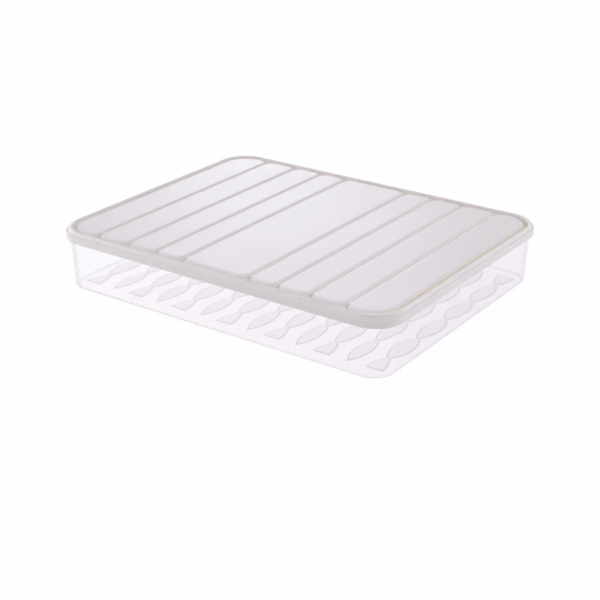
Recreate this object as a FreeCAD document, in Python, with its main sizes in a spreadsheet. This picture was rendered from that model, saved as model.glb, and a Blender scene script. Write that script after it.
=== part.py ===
import FreeCAD, Part

import math
import os

import Sketcher

# Shallow refrigerator storage box: a clear tray and a white lid that lifts straight off.
# Millimetres. X runs along the long walls, Y to the back, Z up from the tray's base,
# with the origin under the middle of the tray.

# Driving dimensions: name, size, what it measures.
SIZES = [
    ("tray_length", "333.0", "outside of the tray's end walls, at the rim"),
    ("tray_width", "258.6", "outside of the tray's long walls, at the rim"),
    ("tray_height", "50.0", "base to the top of the tray's rim, where the lid sits"),
    ("tray_lean", "2.1", "how far each wall stands further in at the base than at the rim"),
    ("tray_corner", "22.5", "plan radius of the outside corners at the rim"),
    ("tray_wall", "1.8", "thickness of the tray's walls and floor"),
    ("base_bevel", "2.4", "bevel round the outside of the base"),
    ("floor_bevel", "1.3", "bevel inside, between the floor and the walls"),
    ("flange_width", "1.4", "how far the tray's rim stands out from the wall"),
    ("flange_depth", "2.2", "height of the tray's rim flange"),
    ("ribbon_rise", "0.4", "height of the wavy ribbons above the floor"),
    ("ribbon_margin", "11.75", "outermost ribbons from the outside of the tray's end walls"),
    ("ribbon_end_margin", "18.3", "ribbons' ends from the outside of the tray's long walls"),
    ("lens_width", "15.5", "greatest width of a ribbon"),
    ("neck_width", "3.4", "width of a ribbon at its necks"),
    ("fit_clearance", "0.5", "play between the tray's rim and the lid's skirt"),
    ("skirt_wall", "1.6", "thickness of the lid's skirt"),
    ("skirt_drop", "4.6", "how far the skirt hangs below the top of the tray's rim"),
    ("skirt_bevel", "0.6", "bevel of the skirt's shoulder"),
    ("ledge_rise", "2.0", "top of the skirt's shoulder above the tray's rim"),
    ("rim_inset", "2.3", "how far the lid's rim stands in from the skirt"),
    ("rim_wall", "1.6", "thickness of the lid's raised rim"),
    ("rim_rise", "3.9", "height of the lid's rim above the groove beside it"),
    ("rim_bevel", "0.6", "bevel of the rim's outer top edge"),
    ("rim_corner", "26.0", "plan radius of the rim's outside corners"),
    ("well_corner", "27.0", "plan radius of the rim's inside corners"),
    ("ledge_bevel", "1.0", "bevel in the corner between the skirt's shoulder and the rim"),
    ("deck_thickness", "1.6", "thickness of the lid under its grooves"),
    ("groove_side", "4.5", "groove between the rim and the outermost panels"),
    ("groove_end", "2.9", "groove between the rim and the ends of the panels"),
    ("panel_gap", "2.6", "groove between neighbouring panels"),
    ("panel_rise", "3.4", "height of the panels above the grooves"),
    ("panel_shell", "1.6", "wall thickness of the hollow panels"),
    ("panel_corner", "9.0", "plan radius of the panels' corners"),
    ("panel_bevel", "1.3", "bevel of the panels' top edges"),
    ("web_drop", "0.2", "tops of the webs between the panels below the panels' bevels"),
    ("notch_length", "8.0", "how far the webs stop short of the panels' ends"),
    ("outer_share", "0.947", "field's corner radius, to what a corner leaves of the outermost panel"),
    ("centre_share", "0.2134", "middle panel's share of all the panels' width"),
    ("first_share", "0.0858", "share of each panel next to the middle one"),
    ("second_share", "0.0947", "share of each of the next panels outwards"),
    ("third_share", "0.1021", "share of each last but one panel, and the outermost have the rest"),
]

# The ribbons are of two kinds, half a lens apart, side by side in turn.
WHOLE_RIBBONS = 6
TAILED_RIBBONS = 7
LENS_ROWS = 5

doc = FreeCAD.newDocument("storage_box")
sheet = doc.addObject("Spreadsheet::Sheet", "sizes")
for row, (alias, number, meaning) in enumerate(SIZES, start=1):
    sheet.set(f"A{row}", alias)
    sheet.set(f"B{row}", number)
    sheet.set(f"C{row}", meaning)
    sheet.setAlias(f"B{row}", alias)
doc.recompute()


def value(formula):
    """The number that a formula on the sheet's sizes gives."""
    result = sheet.evalExpression(formula)
    return float(getattr(result, "Value", result))


def plane_of(body, role):
    """The body's own origin plane of that role."""
    for feature in body.Origin.OriginFeatures:
        if feature.Role == role:
            return feature
    raise RuntimeError(f"{body.Label} has no {role}")


def flat_sketch(body, name, level):
    """An empty level sketch of the body, at the height that a formula gives."""
    sketch = body.newObject("Sketcher::SketchObject", name)
    sketch.AttachmentSupport = [(plane_of(body, "XY_Plane"), "")]
    sketch.MapMode = "FlatFace"
    sketch.setExpression("AttachmentOffset.Base.z", level)
    return sketch


def tie(sketch, kind, *ends_and_formula):
    """A dimension of the sketch that follows a formula on the sheet."""
    *ends, formula = ends_and_formula
    index = sketch.addConstraint(Sketcher.Constraint(kind, *ends, value(formula)))
    sketch.setExpression(f"Constraints[{index}]", formula)


def join(sketch, kind, *ends):
    sketch.addConstraint(Sketcher.Constraint(kind, *ends))


def flat_arc(across, along, radius, start, end):
    """An arc that runs anticlockwise between two angles in degrees."""
    circle = Part.Circle(FreeCAD.Vector(across, along, 0), FreeCAD.Vector(0, 0, 1), radius)
    return Part.ArcOfCircle(circle, math.radians(start), math.radians(end))


def round_rectangle(sketch, left, right, front, back, left_radius, right_radius):
    """A rectangle with rounded corners, between four formulas for its sides.
    The two left corners share one radius, and the two right corners another."""
    x_low, x_high, y_low, y_high = (value(side) for side in (left, right, front, back))
    r_left, r_right = value(left_radius), value(right_radius)
    corners = [
        (x_high - r_right, y_low + r_right, r_right, 270),
        (x_high - r_right, y_high - r_right, r_right, 0),
        (x_low + r_left, y_high - r_left, r_left, 90),
        (x_low + r_left, y_low + r_left, r_left, 180),
    ]
    arcs = []
    for across, along, radius, start in corners:
        arcs.append(sketch.addGeometry(flat_arc(across, along, radius, start, start + 90)))
    lines = []
    for arc, following in zip(arcs, arcs[1:] + arcs[:1]):
        begin = sketch.Geometry[arc].EndPoint
        finish = sketch.Geometry[following].StartPoint
        line = sketch.addGeometry(Part.LineSegment(begin, finish))
        join(sketch, "Tangent", arc, 2, line, 1)
        join(sketch, "Tangent", line, 2, following, 1)
        lines.append(line)
    right_line, back_line, left_line, front_line = lines
    for upright in (right_line, left_line):
        join(sketch, "Vertical", upright)
    for level_line in (back_line, front_line):
        join(sketch, "Horizontal", level_line)
    tie(sketch, "DistanceX", -1, 1, right_line, 1, right)
    tie(sketch, "DistanceX", -1, 1, left_line, 1, left)
    tie(sketch, "DistanceY", -1, 1, back_line, 1, back)
    tie(sketch, "DistanceY", -1, 1, front_line, 1, front)
    join(sketch, "Equal", arcs[0], arcs[1])
    join(sketch, "Equal", arcs[2], arcs[3])
    tie(sketch, "Radius", arcs[0], right_radius)
    tie(sketch, "Radius", arcs[2], left_radius)


def centred_rectangle(sketch, half_length, half_width, radius):
    """A rounded rectangle about the origin."""
    round_rectangle(
        sketch, f"-({half_length})", half_length, f"-({half_width})", half_width, radius, radius
    )


def pad(body, name, sketch, height):
    feature = body.newObject("PartDesign::Pad", name)
    feature.Profile = sketch
    feature.setExpression("Length", height)
    doc.recompute()
    return feature


def pocket(body, name, sketch, depth, upwards):
    """A pocket from the sketch's level, which has to take material away."""
    before = body.Shape.Volume
    feature = body.newObject("PartDesign::Pocket", name)
    feature.Profile = sketch
    feature.Reversed = upwards
    feature.setExpression("Length", depth)
    doc.recompute()
    if body.Shape.Volume >= before:
        raise RuntimeError(f"{name} cuts nothing")
    return feature


def level_faces(body, level, upwards):
    """The flat faces of the body's last feature at a height, those that look up or down."""
    found = []
    for face in body.Tip.Shape.Faces:
        normal = face.normalAt(0, 0)
        looks_right_way = normal.z > 0.99 if upwards else normal.z < -0.99
        at_level = math.isclose(face.BoundBox.Center.z, level, abs_tol=1e-4)
        if looks_right_way and at_level:
            found.append(face)
    if not found:
        raise RuntimeError(f"no flat face at height {level}")
    return found


def bevel_edges(body, name, wires, size):
    """Bevels the edges of some wires of the body's last feature."""
    base = body.Tip
    names = []
    for number, edge in enumerate(base.Shape.Edges, start=1):
        if any(edge.isSame(other) for wire in wires for other in wire.Edges):
            names.append(f"Edge{number}")
    feature = body.newObject("PartDesign::Chamfer", name)
    feature.Base = (base, names)
    feature.setExpression("Size", size)
    doc.recompute()
    return feature


def leaning_walls(body, name, block, angle):
    """Leans every upright face of a block outwards from the base plane."""
    upright = []
    for number, face in enumerate(block.Shape.Faces, start=1):
        if math.isclose(face.normalAt(0, 0).z, 0, abs_tol=1e-6):
            upright.append(f"Face{number}")
    feature = body.newObject("PartDesign::Draft", name)
    feature.Base = (block, upright)
    feature.NeutralPlane = (plane_of(body, "XY_Plane"), [""])
    feature.Reversed = True
    feature.setExpression("Angle", angle)
    doc.recompute()
    if feature.Shape.Volume <= block.Shape.Volume:
        raise RuntimeError(f"{name} lean inwards")
    return feature


def shell(body, name, mouth, thickness):
    """Hollows the body's last feature inwards, open at the flat face at a height."""
    base = body.Tip
    mouth_faces = level_faces(body, value(mouth), upwards=True)
    names = []
    for number, face in enumerate(base.Shape.Faces, start=1):
        if any(face.isSame(other) for other in mouth_faces):
            names.append(f"Face{number}")
    feature = body.newObject("PartDesign::Thickness", name)
    feature.Base = (base, names)
    feature.Reversed = True
    feature.setExpression("Value", thickness)
    doc.recompute()
    if feature.Shape.Volume >= base.Shape.Volume:
        raise RuntimeError(f"{name} is not hollow")
    return feature


def pattern(body, name, feature, spacing, count):
    """Repeats a feature along X."""
    repeat = body.newObject("PartDesign::LinearPattern", name)
    repeat.Originals = [feature]
    repeat.Direction = (feature.Profile[0], ["H_Axis"])
    repeat.Mode = "Spacing"
    repeat.setExpression("Offset", spacing)
    repeat.Occurrences = count
    body.Tip = repeat
    doc.recompute()
    return repeat


def mirror(body, name, features):
    """Mirrors features to the other side of the box's middle plane."""
    copy = body.newObject("PartDesign::Mirrored", name)
    copy.Originals = features
    copy.MirrorPlane = (plane_of(body, "YZ_Plane"), [""])
    body.Tip = copy
    doc.recompute()
    return copy


def bulging_arc(first, second, radius):
    """An arc of a given radius, anticlockwise from one point to another."""
    chord = second - first
    middle = (first + second) / 2
    inwards = FreeCAD.Vector(-chord.y, chord.x, 0).normalize()
    centre = middle + inwards * math.sqrt(radius**2 - (chord.Length / 2) ** 2)
    angles = []
    for end in (first, second):
        angles.append(math.degrees(math.atan2(end.y - centre.y, end.x - centre.x)))
    if angles[1] < angles[0]:
        angles[1] += 360
    return flat_arc(centre.x, centre.y, radius, *angles)


def ribbon_outline(sketch, across, stations, radius):
    """The outline of one ribbon, from its stations: half width and place along the ribbon,
    from front to back. Arcs of one radius bulge out between the stations, on both sides."""
    places = []
    for half_width, along in stations:
        places.append((f"{across} + {half_width}", along))
    for half_width, along in reversed(stations):
        places.append((f"{across} - {half_width}", along))
    points = [FreeCAD.Vector(value(x), value(y), 0) for x, y in places]
    runs = []
    for number, place in enumerate(places):
        following = (number + 1) % len(places)
        first, second = points[number], points[following]
        if first.isEqual(second, 0):
            continue
        if math.isclose(first.y, second.y):
            runs.append((sketch.addGeometry(Part.LineSegment(first, second)), place))
        else:
            runs.append((sketch.addGeometry(bulging_arc(first, second, value(radius))), place))
    arcs = []
    for number, (run, place) in enumerate(runs):
        following = runs[(number + 1) % len(runs)][0]
        join(sketch, "Coincident", run, 2, following, 1)
        tie(sketch, "DistanceX", -1, 1, run, 1, place[0])
        tie(sketch, "DistanceY", -1, 1, run, 1, place[1])
        if isinstance(sketch.Geometry[run], Part.ArcOfCircle):
            arcs.append(run)
    tie(sketch, "Radius", arcs[0], radius)
    for arc in arcs[1:]:
        join(sketch, "Equal", arcs[0], arc)


# Clear tray: a block on the base outline, whose walls lean out to the rim, hollowed evenly.
tray = doc.addObject("PartDesign::Body", "tray")
tray.Label = "tray"

half_length = "sizes.tray_length / 2"
half_width = "sizes.tray_width / 2"


def outline(body, name, level, *reaches, corner=None):
    """A level sketch of outlines that stand out from the tray's rim by some formulas.
    Their corners run alongside the tray's, or have a radius of their own."""
    sketch = flat_sketch(body, name, level)
    for reach in reaches:
        radius = corner or f"sizes.tray_corner + {reach}"
        centred_rectangle(sketch, f"{half_length} + {reach}", f"{half_width} + {reach}", radius)
    return sketch


block = pad(tray, "tray_block", outline(tray, "base_outline", "0", "-sizes.tray_lean"), "sizes.tray_height")
leaning_walls(tray, "leaning_walls", block, "atan(sizes.tray_lean / sizes.tray_height)")
shell(tray, "tray_hollow", "sizes.tray_height", "sizes.tray_wall")
underside = level_faces(tray, 0, upwards=False)
bevel_edges(tray, "base_bevel", [face.OuterWire for face in underside], "sizes.base_bevel")
floor = level_faces(tray, value("sizes.tray_wall"), upwards=True)
bevel_edges(tray, "floor_bevel", [face.OuterWire for face in floor], "sizes.floor_bevel")

# Rim flange, rooted in the middle of the wall. The lid's skirt hides it when the box is shut.
flange_level = "sizes.tray_height - sizes.flange_depth"
flange_outline = outline(tray, "flange_outline", flange_level, "sizes.flange_width", "-sizes.tray_wall / 2")
pad(tray, "flange", flange_outline, "sizes.flange_depth")

# Floor ribbons: chained lens shapes. Every second ribbon is made of whole lenses, and the
# ribbons between them end in fish tails, so that waves and necks lie side by side.
ribbon_span = "(sizes.tray_length - 2 * sizes.ribbon_margin - sizes.lens_width)"
ribbon_pitch = f"{ribbon_span} / {WHOLE_RIBBONS + TAILED_RIBBONS - 1}"
lens_length = f"(sizes.tray_width - 2 * sizes.ribbon_end_margin) / {LENS_ROWS}"
bulge = "((sizes.lens_width - sizes.neck_width) / 2)"
lens_radius = f"(({lens_length} / 2) ^ 2 + {bulge} ^ 2) / (2 * {bulge})"
half_neck = "sizes.neck_width / 2"
ribbon_end = LENS_ROWS / 2


def ribbons(name, columns, necks, end_half_width):
    """Pads one ribbon and repeats it side by side. Necks are counted in lens lengths."""
    stations = [(end_half_width, f"{-ribbon_end} * {lens_length}")]
    stations += [(half_neck, f"{neck} * {lens_length}") for neck in necks]
    stations += [(end_half_width, f"{ribbon_end} * {lens_length}")]
    sketch = flat_sketch(tray, name + "_outline", "sizes.tray_wall")
    ribbon_outline(sketch, f"{1 - columns} * {ribbon_pitch}", stations, lens_radius)
    first = pad(tray, name, sketch, "sizes.ribbon_rise")
    pattern(tray, name + "_row", first, f"2 * {ribbon_pitch}", columns)


ribbons("whole_ribbon", WHOLE_RIBBONS, [row - ribbon_end for row in range(1, LENS_ROWS)], "0")
ribbons(
    "tailed_ribbon",
    TAILED_RIBBONS,
    [row - (LENS_ROWS - 1) / 2 for row in range(LENS_ROWS)],
    "sizes.lens_width / 2",
)

# White lid: a skirt round the tray's rim, a raised rim set in from it, and hollow panels.
lid = doc.addObject("PartDesign::Body", "lid")
lid.Label = "lid"

seat = "sizes.tray_height"
skirt_reach = "(sizes.flange_width + sizes.fit_clearance + sizes.skirt_wall)"
rim_reach = f"({skirt_reach} - sizes.rim_inset)"
well_reach = f"({rim_reach} - sizes.rim_wall)"
hollow_reach = f"({skirt_reach} - sizes.skirt_wall)"
skirt_foot = f"{seat} - sizes.skirt_drop"
groove_level = f"{seat} + sizes.deck_thickness"

skirt_outline = outline(lid, "skirt_outline", skirt_foot, skirt_reach)
pad(lid, "skirt", skirt_outline, "sizes.skirt_drop + sizes.ledge_rise")
shoulder_level = f"{seat} + sizes.ledge_rise"
shoulder = level_faces(lid, value(shoulder_level), upwards=True)
bevel_edges(lid, "shoulder_bevel", [face.OuterWire for face in shoulder], "sizes.skirt_bevel")
raised_outline = outline(lid, "raised_outline", shoulder_level, rim_reach, corner="sizes.rim_corner")
pad(lid, "rim", raised_outline, "sizes.deck_thickness + sizes.rim_rise - sizes.ledge_rise")
ledge = level_faces(lid, value(shoulder_level), upwards=True)[0]
rim_foot = [wire for wire in ledge.Wires if not wire.isSame(ledge.OuterWire)]
bevel_edges(lid, "ledge_bevel", rim_foot, "sizes.ledge_bevel")
rim_level = f"{groove_level} + sizes.rim_rise"
well_outline = outline(lid, "well_outline", rim_level, well_reach, corner="sizes.well_corner")
pocket(lid, "well", well_outline, "sizes.rim_rise", upwards=False)
rim_ring = level_faces(lid, value(rim_level), upwards=True)[0]
bevel_edges(lid, "rim_bevel", [rim_ring.OuterWire], "sizes.rim_bevel")
foot_outline = outline(lid, "foot_outline", skirt_foot, hollow_reach)
pocket(lid, "skirt_hollow", foot_outline, "sizes.skirt_drop", upwards=True)

# Panels, from the middle outwards: each one's left and right side. They share what the
# grooves between them leave of the field, and the outermost reaches to the field's edge.
field_edge = f"({half_length} + {well_reach} - sizes.groove_side)"
panel_end = f"({half_width} + {well_reach} - sizes.groove_end)"
inner_shares = ["sizes.first_share", "sizes.second_share", "sizes.third_share"]
all_widths = f"(2 * {field_edge} - {2 * len(inner_shares) + 2} * sizes.panel_gap)"
middle_side = f"(sizes.centre_share * {all_widths} / 2)"
middle_panel = [(f"-{middle_side}", middle_side, "sizes.panel_corner")]
side_panels = []
gaps = [middle_side]
left_side = f"({middle_side} + sizes.panel_gap)"
for share in inner_shares:
    right_side = f"({left_side} + {share} * {all_widths})"
    side_panels.append((left_side, right_side, "sizes.panel_corner"))
    gaps.append(right_side)
    left_side = f"({right_side} + sizes.panel_gap)"
outer_corner = f"(sizes.outer_share * ({field_edge} - {left_side} - sizes.panel_corner))"
side_panels.append((left_side, field_edge, outer_corner))


def panel_sketch(name, level, panels, inset):
    """The panels' outlines at a height, drawn in by an inset."""
    sketch = flat_sketch(lid, name, level)
    for left, right, right_corner in panels:
        round_rectangle(
            sketch,
            f"{left} + {inset}",
            f"{right} - {inset}",
            f"-({panel_end} - {inset})",
            f"{panel_end} - {inset}",
            f"sizes.panel_corner - {inset}",
            f"{right_corner} - {inset}",
        )
    return sketch


panel_depth = "sizes.deck_thickness + sizes.panel_rise - sizes.panel_shell"
middle_block = pad(
    lid, "middle_panel", panel_sketch("middle_outline", groove_level, middle_panel, "0"), "sizes.panel_rise"
)
side_blocks = pad(
    lid, "side_panels", panel_sketch("side_outline", groove_level, side_panels, "0"), "sizes.panel_rise"
)

# Webs fill the grooves between neighbouring panels nearly to the top, and leave a notch at
# each end. They are rooted in the middle of the panels' walls.
root = "sizes.panel_shell / 2"
web_end = f"({panel_end} - sizes.notch_length)"
web_outline = flat_sketch(lid, "web_outline", groove_level)
for gap in gaps:
    web_left = f"{gap} - {root}"
    web_right = f"{gap} + sizes.panel_gap + {root}"
    round_rectangle(web_outline, web_left, web_right, f"-{web_end}", web_end, root, root)
webs = pad(lid, "webs", web_outline, "sizes.panel_rise - sizes.panel_bevel - sizes.web_drop")

middle_hollow = pocket(
    lid,
    "middle_hollow",
    panel_sketch("middle_hollow_outline", seat, middle_panel, "sizes.panel_shell"),
    panel_depth,
    upwards=True,
)
side_hollows = pocket(
    lid,
    "side_hollows",
    panel_sketch("side_hollow_outline", seat, side_panels, "sizes.panel_shell"),
    panel_depth,
    upwards=True,
)
mirror(lid, "other_panels", [side_blocks, webs, side_hollows])
panel_tops = level_faces(lid, value(f"{groove_level} + sizes.panel_rise"), upwards=True)
panel_wires = [face.OuterWire for face in panel_tops if len(face.Wires) == 1]
bevel_edges(lid, "panel_bevel", panel_wires, "sizes.panel_bevel")

doc.recompute()
for item in doc.Objects:
    if "Invalid" in item.State or "Error" in item.State:
        raise RuntimeError(f"{item.Label} failed: {item.State}")

os.makedirs("parts", exist_ok=True)
for piece in (tray, lid):
    if piece.Shape.isNull() or not piece.Shape.isValid() or len(piece.Shape.Solids) != 1:
        raise RuntimeError(f"{piece.Label} is not one sound solid")
    piece.Shape.exportStep(f"parts/{piece.Label}.step")
    box = piece.Shape.BoundBox
    print(f"{piece.Label}: volume {piece.Shape.Volume:.0f} mm3, {len(piece.Shape.Faces)} faces,", box)
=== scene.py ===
import math

import bmesh
import bpy
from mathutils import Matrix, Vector
from mathutils.geometry import delaunay_2d_cdt


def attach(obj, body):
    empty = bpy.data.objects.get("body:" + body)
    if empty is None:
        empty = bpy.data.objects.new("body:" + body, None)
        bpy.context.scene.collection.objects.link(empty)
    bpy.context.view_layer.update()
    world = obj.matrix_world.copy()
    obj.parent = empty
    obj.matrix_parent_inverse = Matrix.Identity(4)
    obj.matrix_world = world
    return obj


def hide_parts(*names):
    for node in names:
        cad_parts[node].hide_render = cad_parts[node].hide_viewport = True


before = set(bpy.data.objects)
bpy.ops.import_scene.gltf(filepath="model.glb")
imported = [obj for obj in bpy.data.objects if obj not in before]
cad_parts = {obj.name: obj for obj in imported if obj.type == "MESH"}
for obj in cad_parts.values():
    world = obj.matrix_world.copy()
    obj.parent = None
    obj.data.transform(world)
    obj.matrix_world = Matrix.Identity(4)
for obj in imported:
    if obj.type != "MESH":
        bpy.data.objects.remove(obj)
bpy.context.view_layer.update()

# A clear storage tray and its white panelled lid, as mouldings with their edges rounded.
# All sizes are in millimetres, in the frame of the CAD model: X along the long walls,
# Y to the back, Z up from the tray's base. The two bodies carry one piece each.
MM = 0.001

# Tray.
HALF_LENGTH = 166.5
HALF_WIDTH = 129.3
HEIGHT = 50.0
CORNER = 22.5
LEAN = 2.1
WALL = 1.8
BASE_ROUND = 4.0
FLOOR_ROUND = 2.2
FLANGE_WIDTH = 1.4
FLANGE_DEPTH = 2.2
FLANGE_ROUND = 0.35

# Floor ribbons.
RIBBON_MARGIN = 11.75
RIBBON_END_MARGIN = 18.3
RIBBON_COUNT = 13
LENS_ROWS = 5
LENS_WIDTH = 15.5
NECK_WIDTH = 3.4
# Cross-section of a ribbon's edge: how far in from its outline, how high above the floor.
RIBBON_EDGE = [
    (-0.3, 0.0),
    (-0.1, 0.04),
    (0.1, 0.12),
    (0.3, 0.23),
    (0.5, 0.32),
    (0.75, 0.38),
    (1.05, 0.4),
]

# Lid: its walls, its steps up from the tray's rim, and its grooves and panels.
FIT_CLEARANCE = 0.5
SKIRT_WALL = 1.6
SKIRT_DROP = 4.6
LEDGE_RISE = 2.0
RIM_INSET = 2.3
RIM_WALL = 1.6
RIM_RISE = 3.9
DECK = 1.6
PANEL_RISE = 3.4
PANEL_SHELL = 1.6
GROOVE_SIDE = 4.5
GROOVE_END = 2.9
PANEL_GAP = 2.6
GAP_DEPTH = 1.5
NOTCH = 8.0
FIELD_LEDGE = 0.1
PANEL_CORNER = 9.0
OUTER_CORNER = 23.0
# Widths of the middle panel and of the next three outwards, as shares of all the panels' width.
PANEL_SHARES = [0.2134, 0.0858, 0.0947, 0.1021]
FOOT_ROUND = 0.5
SHOULDER_ROUND = 0.7
RIM_ROUND = 0.8
LIP_ROUND = 0.6
INSIDE_ROUND = 0.4
LEDGE_ROUND = 1.6
PANEL_SIDE_ROUND = 2.2
PANEL_END_ROUND = 6.5
PANEL_ROUND_DEPTH = 1.2

# The lid's reaches, outwards from the outside of the tray's walls at the rim.
SKIRT_HOLLOW_REACH = FLANGE_WIDTH + FIT_CLEARANCE
SKIRT_REACH = SKIRT_HOLLOW_REACH + SKIRT_WALL
RIM_REACH = SKIRT_REACH - RIM_INSET
WELL_REACH = RIM_REACH - RIM_WALL
# Plan radii of the corners outside and inside the lid's rim, at a reach of zero.
RIM_CORNER = 24.8
WELL_CORNER = 27.4

# The lid's heights above the tray's base.
SKIRT_FOOT = HEIGHT - SKIRT_DROP
SHOULDER = HEIGHT + LEDGE_RISE
GROOVE_FLOOR = HEIGHT + DECK
RIM_TOP = GROOVE_FLOOR + RIM_RISE
PANEL_TOP = GROOVE_FLOOR + PANEL_RISE
HOLLOW_TOP = PANEL_TOP - PANEL_SHELL

# Fineness of the meshes, and the angle in degrees from which an edge is sharp.
BIG_CORNER_STEPS = 40
PANEL_CORNER_STEPS = 18
ROUND_STEPS = 6
LENS_STEPS = 16
FEWEST_LENS_STEPS = 4
SHARP_ANGLE = 50
NORMAL_WEIGHT = 100
TINY = 1e-6
MERGE_DISTANCE = 1e-9

# Loops of the base's rounding that show as the tray's lower edge, tinted darker there as a painted
# shaded line.
BASE_EDGE_LOOPS = 8

# Slots of each moulding's materials, in the order of the materials.
WALL_SLOT, RIBBON_SLOT, RIBBON_EDGE_SLOT, BASE_EDGE_SLOT, BASE_SLOT, FLOOR_SLOT, RIM_SLOT = range(7)
LID_SLOT, GROOVE_SLOT = range(2)

# Clear plastics in the order of the tray's slots: name, tint, least and greatest roughness,
# index of refraction, how closely the painted edge-on shade keeps to what is seen edge on, and
# clearness.
TRAY_PLASTICS = [
    ("clear_plastic", (1, 1, 1), 0.0, 0.03, 1.13, 4.6, 1),
    ("frosted_plastic", (0.865, 0.846, 0.87), 0.22, 0.28, 1.13, 8, 1),
    # The ribbons' edges are tinted darker as painted shade.
    ("ribbon_edge_painted_shade", (0.6, 0.57, 0.625), 0.3, 0.4, 1.13, 8, 1),
    # The base's rounding is tinted darker as a painted shaded line along the lower edge.
    ("base_edge_painted_shade", (0.86, 0.85, 0.89), 0.1, 0.15, 1.05, 4, 1),
    ("base_plastic", (0.995, 0.99, 0.995), 0.55, 0.65, 1.05, 8, 1),
    ("floor_plastic", (1, 1, 1), 0.0, 0.03, 1.13, 8, 1),
    ("rim_plastic", (0.97, 0.96, 0.99), 0.25, 0.35, 1.13, 8, 0.15),
]
# Painted shade of the clear plastic along the tray, from its left end to its right one: bluer at the
# left end, darker towards the right end.
TRAY_PAINTED_SHADES = [
    (0.0, (0.975, 0.985, 1.0)),
    (0.15, (1.0, 0.99, 1.0)),
    (0.5, (0.997, 0.979, 0.993)),
    (1.0, (0.972, 0.957, 0.976)),
]
# How the clear plastic's painted shade and its polish drift, its painted darkening edge on, and its
# colour in depth.
FLOW_SCALE = 9
FLOW_DETAIL = 2
FLOW_SHARE = 0.1
SLANT_BLEND = 0.5
EDGE_ON_PAINTED_SHADE = (0.35, 0.35, 0.42)
DEPTH_COLOUR = (0.75, 0.35, 0.8)
DEPTH_DENSITY = 6

# Whites of the lid, darker lower down as painted shade, and paler whites for its grooves as painted
# light, paler lower down, each with a place between the groove's floor at 0 and the rim's top at 1.
# Noise adds up to the cloud share to that place.
LID_HIGH = (0.915, 0.875, 0.81)
LID_WHITES_WITH_PAINTED_SHADE = [(0.1, (0.895, 0.855, 0.79)), (1.0, LID_HIGH)]
GROOVE_WHITES_WITH_PAINTED_LIGHT = [(0.25, (0.96, 0.925, 0.87)), (0.45, (0.93, 0.89, 0.825)), (0.85, LID_HIGH)]
# Tints over the two at the lid's right end, and where along X they begin and are full: white on the
# lid, a painted warm shade in the grooves.
LID_RIGHT_TINT = (1, 1, 1)
GROOVE_RIGHT_PAINTED_SHADE = (1, 0.97, 0.9)
RIGHT_PAINTED_SHADE_START = 145
RIGHT_PAINTED_SHADE_END = 160
# The lid's clouds, its fine moulded grain and its gloss.
CLOUD_SCALE = 14
CLOUD_DETAIL = 3
CLOUD_SHARE = 0.3
GRAIN_SCALE = 1600
GRAIN_DETAIL = 2
GRAIN_STRENGTH = 0.06
GRAIN_DEPTH = 0.1
LID_ROUGHNESS = (0.36, 0.46)
LID_IOR = 1.49

# Table, in metres, and how much of it is plain white to the camera.
TABLE_COLOUR = (0.95, 0.945, 0.955)
TABLE_WHITE_SHARE = 0.975
TABLE_HALF_SIZE = 6
TABLE_CELLS = 8
TABLE_DROP = 0.0002

# Where the room is darkest, as a direction from the object: low at the front right. The room dims
# as its direction turns to that one, between two values of their dot product.
DARK_SIDE = (0.56, -0.8, 0.2)
DIMMING_START = 0.2
DIMMING_END = 1
DARK_SIDE_COLOUR = (0.23, 0.22, 0.17)
LIGHT_SIDE_COLOUR = (0.465, 0.462, 0.55)
WHITE = (1, 1, 1)

# Lamps, in metres and watts: name, place, target, size and power.
LAMP_COLOUR = (0.88, 0.88, 1)
LAMPS = [
    ("key", (-0.5, -1.0, 1.9), (0, 0, 0.05), (1.1, 1.1), 1.2),
    ("back_left", (-1.49, 1.975, 0.8), (0, 0, 0.05), (0.8, 0.6), 6.75),
    ("left_low", (-1.6, 0.1, 0.28), (0, 0, 0.05), (0.5, 0.3), 3.7),
    ("right_low", (0.85, 0.8, 0.3), (0.1, 0, 0.04), (0.4, 0.4), 2),
    ("right_high", (1.2, -0.2, 0.9), (0, 0, 0.05), (0.5, 0.5), 4.8),
    ("front_left", (-0.7, -0.85, 0.35), (-0.1, -0.1, 0.05), (0.5, 0.5), 3.6),
]

# The photograph's viewpoint in metres, found from the lid's edges and grooves, and its lens.
CAMERA_PLACE = (0.62542, -0.88809, 0.46632)
CAMERA_TARGET = (0.09454, -0.13533, 0.05535)
CAMERA_LENS = 79.337
CAMERA_SENSOR = 36


def quarter(centre_x, centre_y, radius_x, radius_y, start, steps):
    """Points of a quarter of an ellipse, anticlockwise from a start angle in degrees."""
    points = []
    for step in range(steps + 1):
        angle = math.radians(start + 90 * step / steps)
        points.append((centre_x + radius_x * math.cos(angle), centre_y + radius_y * math.sin(angle)))
    return points


def rounded_rectangle(left, right, front, back, left_radii, right_radii, steps):
    """Points of a rectangle with rounded corners, anticlockwise from the front right corner.
    The radii are pairs, along X and along Y."""
    rx, ry = right_radii
    lx, ly = left_radii
    return (
        quarter(right - rx, front + ry, rx, ry, 270, steps)
        + quarter(right - rx, back - ry, rx, ry, 0, steps)
        + quarter(left + lx, back - ly, lx, ly, 90, steps)
        + quarter(left + lx, front + ly, lx, ly, 180, steps)
    )


def outline(reach, corner=CORNER):
    """The tray's outline at its rim, moved outwards by a reach. The lid's rim and what lies
    inside it have a rounder corner."""
    length, width, radius = HALF_LENGTH + reach, HALF_WIDTH + reach, corner + reach
    radii = (radius, radius)
    return rounded_rectangle(-length, length, -width, width, radii, radii, BIG_CORNER_STEPS)


def arc(centre, radius, start, end, steps=ROUND_STEPS):
    """Points of an arc in a cross-section, between two angles in degrees."""
    points = []
    for step in range(steps + 1):
        angle = math.radians(start + (end - start) * step / steps)
        points.append((centre[0] + radius * math.cos(angle), centre[1] + radius * math.sin(angle)))
    return points


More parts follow.
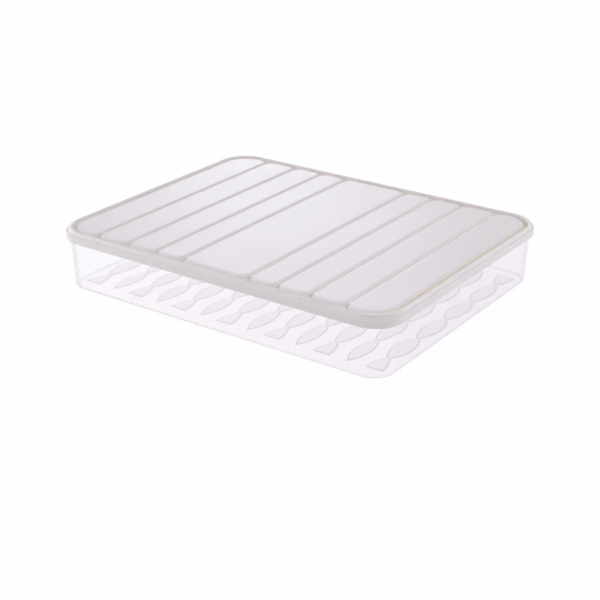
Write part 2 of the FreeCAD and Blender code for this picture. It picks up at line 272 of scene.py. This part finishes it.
def drawn_in(points, distance):
    """A closed row of points moved inwards by a distance, with mitred corners."""
    moved = []
    for number, point in enumerate(points):
        before = Vector(points[number - 1])
        here = Vector(point)
        after = Vector(points[(number + 1) % len(points)])
        first = (here - before).normalized()
        second = (after - here).normalized()
        first_in = Vector((-first.y, first.x))
        second_in = Vector((-second.y, second.x))
        mitre = (first_in + second_in) / (1 + first_in.dot(second_in))
        moved.append(tuple(here + mitre * distance))
    return moved


def inside(point, row):
    """True if a point lies inside a closed row of points."""
    hit = False
    for number, here in enumerate(row):
        before = row[number - 1]
        if (here[1] > point[1]) != (before[1] > point[1]):
            share = (point[1] - here[1]) / (before[1] - here[1])
            if point[0] < here[0] + share * (before[0] - here[0]):
                hit = not hit
    return hit


class Moulding:
    """A closed skin that grows loop by loop. A loop is a level row of points."""

    def __init__(self):
        self.skin = bmesh.new()

    def loop(self, points, height):
        """A new loop at a height. Points and height are in millimetres."""
        return [self.skin.verts.new((x * MM, y * MM, height * MM)) for x, y in points]

    def sleeve(self, loops, slot):
        """Bands of quads from each loop to the next."""
        for first, second in zip(loops, loops[1:]):
            for number in range(len(first)):
                corners = (first[number - 1], first[number], second[number], second[number - 1])
                self.skin.faces.new(corners).material_index = slot

    def sheet(self, edge, slot, holes=()):
        """A flat sheet of triangles inside a loop, with holes."""
        verts, links = [], []
        for row in (edge, *holes):
            first = len(verts)
            for number in range(len(row)):
                links.append((first + number, first + (number + 1) % len(row)))
            verts += row
        places = [Vector((vert.co.x, vert.co.y)) for vert in verts]
        triangles = delaunay_2d_cdt(places, links, [], 1, MERGE_DISTANCE)[2]
        gaps = [[(vert.co.x, vert.co.y) for vert in hole] for hole in holes]
        for triangle in triangles:
            middle = sum((places[corner] for corner in triangle), Vector((0, 0))) / 3
            if any(inside(middle, gap) for gap in gaps):
                continue
            self.skin.faces.new([verts[corner] for corner in triangle]).material_index = slot

    def finish(self, name, materials):
        """The skin as an object, smooth except along its sharp edges."""
        bmesh.ops.recalc_face_normals(self.skin, faces=self.skin.faces)
        mesh = bpy.data.meshes.new(name)
        self.skin.to_mesh(mesh)
        self.skin.free()
        for material in materials:
            mesh.materials.append(material)
        mesh.shade_smooth()
        mesh.set_sharp_from_angle(angle=math.radians(SHARP_ANGLE))
        piece = bpy.data.objects.new(name, mesh)
        bpy.context.scene.collection.objects.link(piece)
        normals = piece.modifiers.new("even_normals", "WEIGHTED_NORMAL")
        normals.keep_sharp = True
        normals.weight = NORMAL_WEIGHT
        return piece


def ribbon_outline(across, stations):
    """A ribbon's outline from its stations, front to back: half width, place along Y.
    Arcs bulge out between the stations."""
    bulge = (LENS_WIDTH - NECK_WIDTH) / 2
    lens_length = 2 * (HALF_WIDTH - RIBBON_END_MARGIN) / LENS_ROWS
    radius = ((lens_length / 2) ** 2 + bulge**2) / (2 * bulge)
    corners = stations + [(-half, along) for half, along in reversed(stations)]
    points = []
    for number, corner in enumerate(corners):
        first = Vector(corner)
        second = Vector(corners[(number + 1) % len(corners)])
        chord = second - first
        if chord.length < TINY:
            continue
        points.append((across + first.x, first.y))
        if abs(chord.y) < TINY:
            continue
        inwards = Vector((-chord.y, chord.x)).normalized()
        centre = (first + second) / 2 + inwards * math.sqrt(radius**2 - (chord.length / 2) ** 2)
        start = math.atan2(first.y - centre.y, first.x - centre.x)
        sweep = 2 * math.asin(chord.length / (2 * radius))
        steps = max(FEWEST_LENS_STEPS, round(LENS_STEPS * chord.length / lens_length))
        for step in range(1, steps):
            angle = start + sweep * step / steps
            x = across + centre.x + radius * math.cos(angle)
            y = centre.y + radius * math.sin(angle)
            points.append((x, y))
    return points


def ribbon_outlines():
    """All the ribbons, left to right. Fish-tailed ones and ones of whole lenses take turns."""
    end = HALF_WIDTH - RIBBON_END_MARGIN
    lens_length = 2 * end / LENS_ROWS
    half_neck = NECK_WIDTH / 2
    tailed = [(LENS_WIDTH / 2, -end)]
    tailed += [(half_neck, (row - (LENS_ROWS - 1) / 2) * lens_length) for row in range(LENS_ROWS)]
    tailed += [(LENS_WIDTH / 2, end)]
    whole = [(0, -end)]
    whole += [(half_neck, row * lens_length - end) for row in range(1, LENS_ROWS)]
    whole += [(0, end)]
    outermost = HALF_LENGTH - RIBBON_MARGIN - LENS_WIDTH / 2
    pitch = 2 * outermost / (RIBBON_COUNT - 1)
    rows = []
    for number in range(RIBBON_COUNT):
        rows.append(ribbon_outline(number * pitch - outermost, whole if number % 2 else tailed))
    return rows


def make_tray(materials):
    """The tray: base, leaning walls, flange, rim, inside walls and a ribboned floor."""
    tray = Moulding()
    slope = LEAN / HEIGHT
    tilt = math.atan(slope)
    across_wall = WALL / math.cos(tilt)

    def wall_reach(height):
        return slope * (height - HEIGHT)

    base_centre = (wall_reach(BASE_ROUND) - BASE_ROUND / math.cos(tilt), BASE_ROUND)
    section = arc(base_centre, BASE_ROUND, -90, -math.degrees(tilt), 2 * ROUND_STEPS)
    flange_foot = HEIGHT - FLANGE_DEPTH
    section += [(wall_reach(flange_foot), flange_foot), (FLANGE_WIDTH - FLANGE_ROUND, flange_foot)]
    section += arc((FLANGE_WIDTH - FLANGE_ROUND, flange_foot + FLANGE_ROUND), FLANGE_ROUND, -90, 0)[1:]
    rim_start = len(section)
    section += arc((FLANGE_WIDTH - FLANGE_ROUND, HEIGHT - FLANGE_ROUND), FLANGE_ROUND, 0, 90)
    section += arc((FLANGE_ROUND - WALL, HEIGHT - FLANGE_ROUND), FLANGE_ROUND, 90, 180)
    rim_end = len(section) - 1
    floor_height = WALL + FLOOR_ROUND
    floor_centre = (wall_reach(floor_height) - across_wall - FLOOR_ROUND / math.cos(tilt), floor_height)
    section += arc(floor_centre, FLOOR_ROUND, -math.degrees(tilt), -90, 2 * ROUND_STEPS)
    loops = [tray.loop(outline(reach), height) for reach, height in section]
    tray.sleeve(loops[: BASE_EDGE_LOOPS + 1], BASE_EDGE_SLOT)
    tray.sleeve(loops[BASE_EDGE_LOOPS : rim_start + 1], WALL_SLOT)
    tray.sleeve(loops[rim_start : rim_end + 1], RIM_SLOT)
    tray.sleeve(loops[rim_end:], WALL_SLOT)
    tray.sheet(loops[0], BASE_SLOT)
    feet = []
    for row in ribbon_outlines():
        edge = [tray.loop(drawn_in(row, depth), WALL + rise) for depth, rise in RIBBON_EDGE]
        # The ribbons' edges carry their painted shade.
        tray.sleeve(edge, RIBBON_EDGE_SLOT)
        tray.sheet(edge[-1], RIBBON_SLOT)
        feet.append(edge[0])
    tray.sheet(loops[-1], FLOOR_SLOT, feet)
    return tray.finish("tray_moulding", materials)


def panel_sides():
    """Each panel's left side, right side, left corner radius and right corner radius."""
    field_edge = HALF_LENGTH + WELL_REACH - GROOVE_SIDE
    widths = 2 * field_edge - 2 * len(PANEL_SHARES) * PANEL_GAP
    middle = PANEL_SHARES[0] * widths / 2
    panels = [(-middle, middle, PANEL_CORNER, PANEL_CORNER)]
    left = middle + PANEL_GAP
    for share in PANEL_SHARES[1:]:
        right = left + share * widths
        panels.append((left, right, PANEL_CORNER, PANEL_CORNER))
        left = right + PANEL_GAP
    panels.append((left, field_edge, PANEL_CORNER, OUTER_CORNER))
    for left, right, left_corner, right_corner in panels[1:]:
        panels.append((-right, -left, right_corner, left_corner))
    return sorted(panels)


def panel_row(panel, side_inset, end_inset):
    """A panel's outline, drawn in at its long sides and at its ends."""
    left, right, left_corner, right_corner = panel
    end = HALF_WIDTH + WELL_REACH - GROOVE_END - end_inset
    return rounded_rectangle(
        left + side_inset,
        right - side_inset,
        -end,
        end,
        (left_corner - side_inset, left_corner - end_inset),
        (right_corner - side_inset, right_corner - end_inset),
        PANEL_CORNER_STEPS,
    )


def field_row(inset):
    """The outline of all the panels and the webs between them, with a notch at each web's
    two ends."""
    panels = panel_sides()
    corner = PANEL_CORNER_STEPS + 1
    rows = [panel_row(panel, inset, inset) for panel in panels]
    notch_place = HALF_WIDTH + WELL_REACH - GROOVE_END - NOTCH
    notch_radius = PANEL_GAP / 2 + inset
    front, back = [], []
    for number, row in enumerate(rows):
        front += row[3 * corner :] + row[:corner]
        back = row[corner : 3 * corner] + back
        if number + 1 < len(rows):
            middle = panels[number][1] + PANEL_GAP / 2
            turn = arc((middle, 0), notch_radius, 180, 0)
            front += [(x, y - notch_place) for x, y in turn]
            back = [(x, notch_place - y) for x, y in reversed(turn)] + back
    return front + back


def panel_edge():
    """Cross-section of a panel's edge: inset at its sides, inset at its ends, and height. The
    sides are round and the ends slope down in a longer curve."""
    foot = 2 * FIELD_LEDGE
    rows = [(foot, foot, PANEL_TOP - GAP_DEPTH)]
    for step in range(2 * ROUND_STEPS + 1):
        angle = math.radians(90 * step / (2 * ROUND_STEPS))
        drop = 1 - math.sin(angle)
        side = foot + PANEL_SIDE_ROUND * (1 - math.cos(angle))
        end = foot + PANEL_END_ROUND * (1 - math.sqrt(drop))
        rows.append((side, end, PANEL_TOP - PANEL_ROUND_DEPTH * drop))
    return rows


def field_wall():
    """Cross-section of the wall round the panels and webs: inset and height. It flares out to the
    groove's floor."""
    rows = []
    for step in range(ROUND_STEPS + 1):
        angle = math.radians(90 * step / ROUND_STEPS)
        flare = INSIDE_ROUND * (1 - math.sin(angle))
        rows.append((-flare, GROOVE_FLOOR + INSIDE_ROUND * (1 - math.cos(angle))))
    rows.append((FIELD_LEDGE, PANEL_TOP - GAP_DEPTH))
    return rows


def make_lid(materials):
    """The lid: skirt, shoulder, rim, grooved deck and raised panels that are hollow below."""
    lid = Moulding()
    skirt = [(SKIRT_HOLLOW_REACH, HEIGHT)]
    skirt += arc((SKIRT_HOLLOW_REACH + FOOT_ROUND, SKIRT_FOOT + FOOT_ROUND), FOOT_ROUND, 180, 270)
    skirt += arc((SKIRT_REACH - FOOT_ROUND, SKIRT_FOOT + FOOT_ROUND), FOOT_ROUND, 270, 360)
    skirt += arc((SKIRT_REACH - SHOULDER_ROUND, SHOULDER - SHOULDER_ROUND), SHOULDER_ROUND, 0, 90)
    rim = arc((RIM_REACH + LEDGE_ROUND, SHOULDER + LEDGE_ROUND), LEDGE_ROUND, 270, 180)
    rim += arc((RIM_REACH - RIM_ROUND, RIM_TOP - RIM_ROUND), RIM_ROUND, 0, 90)
    well = arc((WELL_REACH + LIP_ROUND, RIM_TOP - LIP_ROUND), LIP_ROUND, 90, 180)
    well += arc((WELL_REACH - INSIDE_ROUND, GROOVE_FLOOR + INSIDE_ROUND), INSIDE_ROUND, 0, -90)
    loops = [lid.loop(outline(reach), height) for reach, height in skirt]
    loops += [lid.loop(outline(reach, RIM_CORNER), height) for reach, height in rim]
    lip = len(loops) + ROUND_STEPS
    loops += [lid.loop(outline(reach, WELL_CORNER), height) for reach, height in well]
    lid.sleeve(loops[: lip + 1], LID_SLOT)
    # The well's walls and floor take the grooves' painted light.
    lid.sleeve(loops[lip:], GROOVE_SLOT)
    field_loops = [lid.loop(field_row(inset), height) for inset, height in field_wall()]
    lid.sleeve(field_loops, GROOVE_SLOT)
    feet, mouths = [], []
    for panel in panel_sides():
        edge = [lid.loop(panel_row(panel, side, end), height) for side, end, height in panel_edge()]
        lid.sleeve(edge, LID_SLOT)
        lid.sheet(edge[-1], LID_SLOT)
        feet.append(edge[0])
        hollow_row = panel_row(panel, PANEL_SHELL, PANEL_SHELL)
        hollow = [lid.loop(hollow_row, height) for height in (HEIGHT, HOLLOW_TOP)]
        lid.sleeve(hollow, LID_SLOT)
        lid.sheet(hollow[1], LID_SLOT)
        mouths.append(hollow[0])
    lid.sheet(loops[-1], GROOVE_SLOT, field_loops[:1])
    lid.sheet(field_loops[-1], GROOVE_SLOT, feet)
    lid.sheet(loops[0], LID_SLOT, mouths)
    return lid.finish("lid_moulding", materials)


def new_material(name):
    """A new node material, its node tree and its shader."""
    material = bpy.data.materials.new(name)
    material.use_nodes = True
    tree = material.node_tree
    return material, tree, tree.nodes["Principled BSDF"]


def add_noise(tree, place, scale, detail):
    """Noise in the object's own space."""
    noise = tree.nodes.new("ShaderNodeTexNoise")
    noise.inputs["Scale"].default_value = scale
    noise.inputs["Detail"].default_value = detail
    tree.links.new(place.outputs["Object"], noise.inputs["Vector"])
    return noise


def add_range(tree, source, start, end, low=0, high=1):
    """A socket's value between a start and an end, spread from low to high."""
    spread = tree.nodes.new("ShaderNodeMapRange")
    spread.inputs["From Min"].default_value = start
    spread.inputs["From Max"].default_value = end
    spread.inputs["To Min"].default_value = low
    spread.inputs["To Max"].default_value = high
    tree.links.new(source, spread.inputs["Value"])
    return spread


def add_drift(tree, noise, share, source):
    """A socket's value with a share of a noise added to it."""
    drift = tree.nodes.new("ShaderNodeMath")
    drift.operation = "MULTIPLY_ADD"
    drift.inputs[1].default_value = share
    tree.links.new(noise.outputs["Fac"], drift.inputs[0])
    tree.links.new(source, drift.inputs[2])
    return drift


def add_ramp(tree, source, shades):
    """A colour for a socket's value, from shades with places between 0 and 1."""
    ramp = tree.nodes.new("ShaderNodeValToRGB")
    stops = ramp.color_ramp.elements
    while len(stops) < len(shades):
        stops.new(1)
    for stop, (place, colour) in zip(stops, shades):
        stop.position = place
        stop.color = (*colour, 1)
    tree.links.new(source, ramp.inputs["Fac"])
    return ramp


def add_tint(tree, source, colour, blend):
    """A colour laid over a socket's colour. How much of it is laid on is left to be set."""
    tint = tree.nodes.new("ShaderNodeMix")
    tint.data_type = "RGBA"
    tint.blend_type = blend
    tint.inputs["B"].default_value = (*colour, 1)
    tree.links.new(source, tint.inputs["A"])
    return tint


def lid_plastic(name, shades, right_painted_shade):
    """White plastic. Its shades lie at heights, as painted shade darker lower down or, in the grooves,
    as painted light paler lower down, and a painted warm shade comes over them at the lid's right end."""
    material, tree, shader = new_material(name)
    nodes, links = tree.nodes, tree.links
    place = nodes.new("ShaderNodeTexCoord")
    split = nodes.new("ShaderNodeSeparateXYZ")
    links.new(place.outputs["Object"], split.inputs["Vector"])
    clouds = add_noise(tree, place, CLOUD_SCALE, CLOUD_DETAIL)
    # Painted by height: the lid darker lower down as painted shade, the grooves paler lower down as
    # painted light.
    rise = add_range(tree, split.outputs["Z"], GROOVE_FLOOR * MM, RIM_TOP * MM)
    drift = add_drift(tree, clouds, CLOUD_SHARE, rise.outputs["Result"])
    shade = add_ramp(tree, drift.outputs["Value"], shades)
    # Painted warm shade at the lid's right end; white, and so without effect, on the lid's own plastic.
    right = add_range(tree, split.outputs["X"], RIGHT_PAINTED_SHADE_START * MM, RIGHT_PAINTED_SHADE_END * MM)
    tint = add_tint(tree, shade.outputs["Color"], right_painted_shade, "MULTIPLY")
    links.new(right.outputs["Result"], tint.inputs["Factor"])
    links.new(tint.outputs["Result"], shader.inputs["Base Color"])
    grain = add_noise(tree, place, GRAIN_SCALE, GRAIN_DETAIL)
    bump = nodes.new("ShaderNodeBump")
    bump.inputs["Strength"].default_value = GRAIN_STRENGTH
    bump.inputs["Distance"].default_value = GRAIN_DEPTH * MM
    links.new(grain.outputs["Fac"], bump.inputs["Height"])
    links.new(bump.outputs["Normal"], shader.inputs["Normal"])
    gloss = add_range(tree, clouds.outputs["Fac"], 0, 1, *LID_ROUGHNESS)
    links.new(gloss.outputs["Result"], shader.inputs["Roughness"])
    shader.inputs["IOR"].default_value = LID_IOR
    return material


def clear_plastic(name, tint, rough_low, rough_high, ior, edge_power, clearness):
    """Clear plastic. Its painted shade drifts along the tray, darker towards the right end, and a
    painted shade darkens it where it is seen edge on.
    """
    material, tree, shader = new_material(name)
    nodes, links = tree.nodes, tree.links
    place = nodes.new("ShaderNodeTexCoord")
    split = nodes.new("ShaderNodeSeparateXYZ")
    links.new(place.outputs["Object"], split.inputs["Vector"])
    flow = add_noise(tree, place, FLOW_SCALE, FLOW_DETAIL)
    # Painted shade along the tray: bluer at the left end, darker towards the right end.
    along = add_range(tree, split.outputs["X"], -HALF_LENGTH * MM, HALF_LENGTH * MM)
    drift = add_drift(tree, flow, FLOW_SHARE, along.outputs["Result"])
    shade = add_ramp(tree, drift.outputs["Value"], TRAY_PAINTED_SHADES)
    tinted = add_tint(tree, shade.outputs["Color"], tint, "MULTIPLY")
    tinted.inputs["Factor"].default_value = 1
    # Painted shade: the colour darkens where the plastic is seen edge on.
    slant = nodes.new("ShaderNodeLayerWeight")
    slant.inputs["Blend"].default_value = SLANT_BLEND
    grazing = nodes.new("ShaderNodeMath")
    grazing.operation = "POWER"
    grazing.inputs[1].default_value = edge_power
    links.new(slant.outputs["Facing"], grazing.inputs[0])
    edge = add_tint(tree, tinted.outputs["Result"], EDGE_ON_PAINTED_SHADE, "MIX")
    links.new(grazing.outputs["Value"], edge.inputs["Factor"])
    links.new(edge.outputs["Result"], shader.inputs["Base Color"])
    polish = add_range(tree, flow.outputs["Fac"], 0, 1, rough_low, rough_high)
    links.new(polish.outputs["Result"], shader.inputs["Roughness"])
    shader.inputs["Transmission Weight"].default_value = clearness
    shader.inputs["IOR"].default_value = ior
    depth = nodes.new("ShaderNodeVolumeAbsorption")
    depth.inputs["Color"].default_value = (*DEPTH_COLOUR, 1)
    depth.inputs["Density"].default_value = DEPTH_DENSITY
    links.new(depth.outputs["Volume"], nodes["Material Output"].inputs["Volume"])
    return material


def seen_by_camera(nodes, links):
    """1 for rays from the camera, mirrored rays and rays through clear plastic, else 0."""
    path = nodes.new("ShaderNodeLightPath")
    total = path.outputs["Is Camera Ray"]
    for kind in ("Is Glossy Ray", "Is Transmission Ray"):
        either = nodes.new("ShaderNodeMath")
        either.operation = "MAXIMUM"
        links.new(total, either.inputs[0])
        links.new(path.outputs[kind], either.inputs[1])
        total = either.outputs["Value"]
    return total


def white_floor():
    """A white table that keeps a faint shadow of the object."""
    material = bpy.data.materials.new("white_table")
    material.use_nodes = True
    nodes, links = material.node_tree.nodes, material.node_tree.links
    nodes.clear()
    paper = nodes.new("ShaderNodeBsdfDiffuse")
    paper.inputs["Color"].default_value = (*TABLE_COLOUR, 1)
    glow = nodes.new("ShaderNodeEmission")
    glow.inputs["Color"].default_value = (*WHITE, 1)
    share = nodes.new("ShaderNodeMath")
    share.operation = "MULTIPLY"
    share.inputs[1].default_value = TABLE_WHITE_SHARE
    links.new(seen_by_camera(nodes, links), share.inputs[0])
    mix = nodes.new("ShaderNodeMixShader")
    links.new(share.outputs["Value"], mix.inputs["Fac"])
    links.new(paper.outputs["BSDF"], mix.inputs[1])
    links.new(glow.outputs["Emission"], mix.inputs[2])
    out = nodes.new("ShaderNodeOutputMaterial")
    links.new(mix.outputs["Shader"], out.inputs["Surface"])
    return material


def make_floor():
    """The table, just below the tray's base."""
    skin = bmesh.new()
    bmesh.ops.create_grid(skin, x_segments=TABLE_CELLS, y_segments=TABLE_CELLS, size=TABLE_HALF_SIZE)
    mesh = bpy.data.meshes.new("table")
    skin.to_mesh(mesh)
    skin.free()
    mesh.materials.append(white_floor())
    table = bpy.data.objects.new("table", mesh)
    table.location.z = -TABLE_DROP
    bpy.context.scene.collection.objects.link(table)


def make_world():
    """A white room for the camera. What lights the object is dimmer, most of all on one side."""
    world = bpy.data.worlds.new("studio")
    world.use_nodes = True
    tree = world.node_tree
    nodes, links = tree.nodes, tree.links
    nodes.clear()
    place = nodes.new("ShaderNodeTexCoord")
    facing = nodes.new("ShaderNodeVectorMath")
    facing.operation = "DOT_PRODUCT"
    facing.inputs[1].default_value = DARK_SIDE
    links.new(place.outputs["Generated"], facing.inputs[0])
    dimness = add_range(tree, facing.outputs["Value"], DIMMING_START, DIMMING_END)
    dimness.interpolation_type = "SMOOTHSTEP"
    shade = nodes.new("ShaderNodeMix")
    shade.data_type = "RGBA"
    shade.inputs["A"].default_value = (*LIGHT_SIDE_COLOUR, 1)
    shade.inputs["B"].default_value = (*DARK_SIDE_COLOUR, 1)
    links.new(dimness.outputs["Result"], shade.inputs["Factor"])
    fill = nodes.new("ShaderNodeBackground")
    links.new(shade.outputs["Result"], fill.inputs["Color"])
    white = nodes.new("ShaderNodeBackground")
    white.inputs["Color"].default_value = (*WHITE, 1)
    mix = nodes.new("ShaderNodeMixShader")
    links.new(seen_by_camera(nodes, links), mix.inputs["Fac"])
    links.new(fill.outputs["Background"], mix.inputs[1])
    links.new(white.outputs["Background"], mix.inputs[2])
    out = nodes.new("ShaderNodeOutputWorld")
    links.new(mix.outputs["Shader"], out.inputs["Surface"])
    bpy.context.scene.world = world


def aim(holder, place, target):
    """Put a lamp or camera at a place, facing a target."""
    holder.location = place
    holder.rotation_euler = (Vector(target) - Vector(place)).to_track_quat("-Z", "Y").to_euler()
    bpy.context.scene.collection.objects.link(holder)


def make_camera():
    """The camera at the photograph's viewpoint."""
    lens = bpy.data.cameras.new("camera")
    lens.sensor_width = CAMERA_SENSOR
    lens.lens = CAMERA_LENS
    camera = bpy.data.objects.new("camera", lens)
    aim(camera, CAMERA_PLACE, CAMERA_TARGET)
    bpy.context.scene.camera = camera


def make_lamp(name, place, target, size, power):
    """A soft lamp that doesn't show through the clear plastic."""
    lamp = bpy.data.lights.new(name, "AREA")
    lamp.shape = "RECTANGLE"
    lamp.size, lamp.size_y = size
    lamp.energy = power
    lamp.color = LAMP_COLOUR
    holder = bpy.data.objects.new(name, lamp)
    holder.visible_transmission = False
    aim(holder, place, target)


tray = make_tray([clear_plastic(*plastic) for plastic in TRAY_PLASTICS])
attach(tray, "tray")
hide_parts("tray")

lid = make_lid(
    [
        lid_plastic("white_satin_plastic", LID_WHITES_WITH_PAINTED_SHADE, LID_RIGHT_TINT),
        # The grooves carry painted light, paler lower down, and a painted warm shade at the right end.
        lid_plastic("groove_painted_light", GROOVE_WHITES_WITH_PAINTED_LIGHT, GROOVE_RIGHT_PAINTED_SHADE),
    ]
)
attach(lid, "lid")
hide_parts("lid")

make_floor()
make_world()
make_camera()
for lamp in LAMPS:
    make_lamp(*lamp)
bpy.context.scene.view_settings.view_transform = "Standard"
